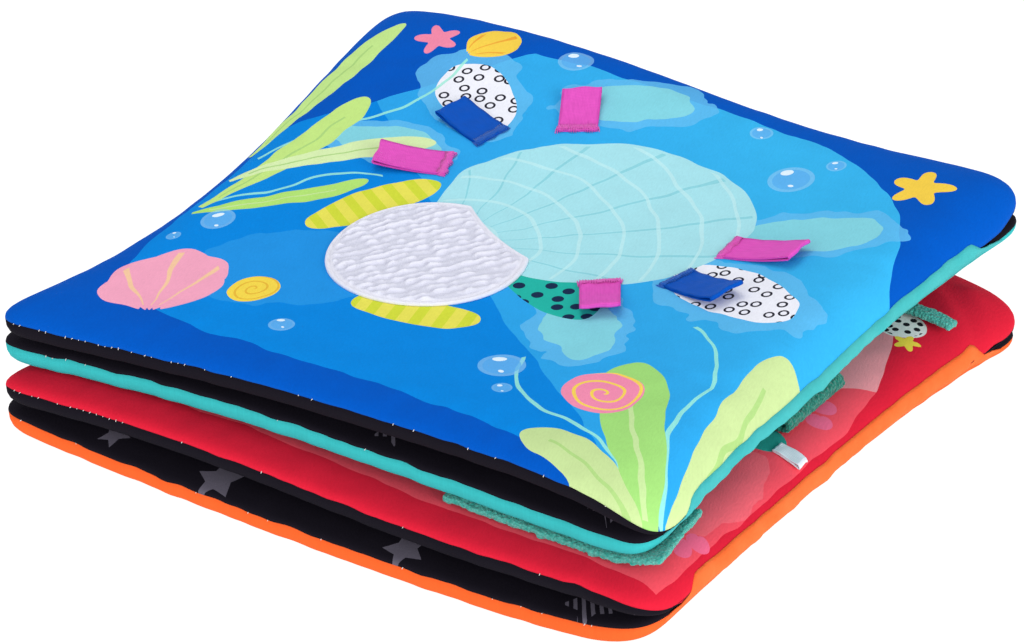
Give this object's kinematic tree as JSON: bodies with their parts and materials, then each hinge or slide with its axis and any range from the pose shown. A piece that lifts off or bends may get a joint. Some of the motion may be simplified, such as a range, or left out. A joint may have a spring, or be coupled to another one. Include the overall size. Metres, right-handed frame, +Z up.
{
  "type": "cloth book",
  "caption": "Soft cloth book whose padded pages are sewn edge to edge in a zigzag, with a textured patch, ribbon tabs and terry flaps.",
  "frame": {"origin": "under the middle of the closed book, on the surface that it lies on", "axes": "+X across the pages towards the fold that joins the front cover, +Y along the folds, +Z up"},
  "size_m": [0.2308, 0.209, 0.059],
  "materials": {
    "blue_print_cloth": "brushed cotton-feel polyester with a sea print",
    "black_lining_cloth": "soft black cloth with grey stars",
    "turquoise_cloth": "plain soft cloth",
    "red_print_cloth": "soft cloth with coral and pink fields",
    "orange_cloth": "plain soft cloth",
    "wadding": "soft white fibre filling",
    "white_textured_cloth": "crinkled white cloth",
    "magenta_ribbon": "satin ribbon",
    "blue_ribbon": "satin ribbon",
    "teal_terry": "looped terry cloth",
    "white_satin": "satin tape"
  },
  "bodies": {
    "pages": {"front_fold": "turquoise_cloth", "turquoise_page_cloth": "turquoise_cloth", "turquoise_page_lining": "black_lining_cloth", "turquoise_page_wadding": "wadding", "middle_fold": "black_lining_cloth", "red_page_cloth": "red_print_cloth", "red_page_lining": "black_lining_cloth", "red_page_wadding": "wadding", "back_fold": "orange_cloth", "terry_flap": "teal_terry", "terry_loop": "teal_terry", "terry_tab": "teal_terry", "white_tab": "white_satin"},
    "front_cover": {"blue_cover_cloth": "blue_print_cloth", "front_cover_lining": "black_lining_cloth", "front_cover_wadding": "wadding", "textured_patch": "white_textured_cloth", "left_ribbon": "magenta_ribbon", "far_left_ribbon": "blue_ribbon", "far_ribbon": "magenta_ribbon", "far_right_ribbon": "magenta_ribbon", "right_ribbon": "blue_ribbon", "near_ribbon": "magenta_ribbon"},
    "back_cover": {"orange_cover_cloth": "orange_cloth", "back_cover_lining": "black_lining_cloth", "back_cover_wadding": "wadding"}
  },
  "joints": [
    {"name": "front_cover_hinge", "type": "hinge", "parent": "pages", "child": "front_cover", "pos_m": [0.1156, 0, 0.045], "axis": [0, 0.9995, 0.0329], "range_deg": [0, 180]},
    {"name": "back_cover_hinge", "type": "hinge", "parent": "pages", "child": "back_cover", "pos_m": [0.116, 0, 0.0134], "axis": [0, -0.9988, 0.0487], "range_deg": [0, 165]}
  ]
}
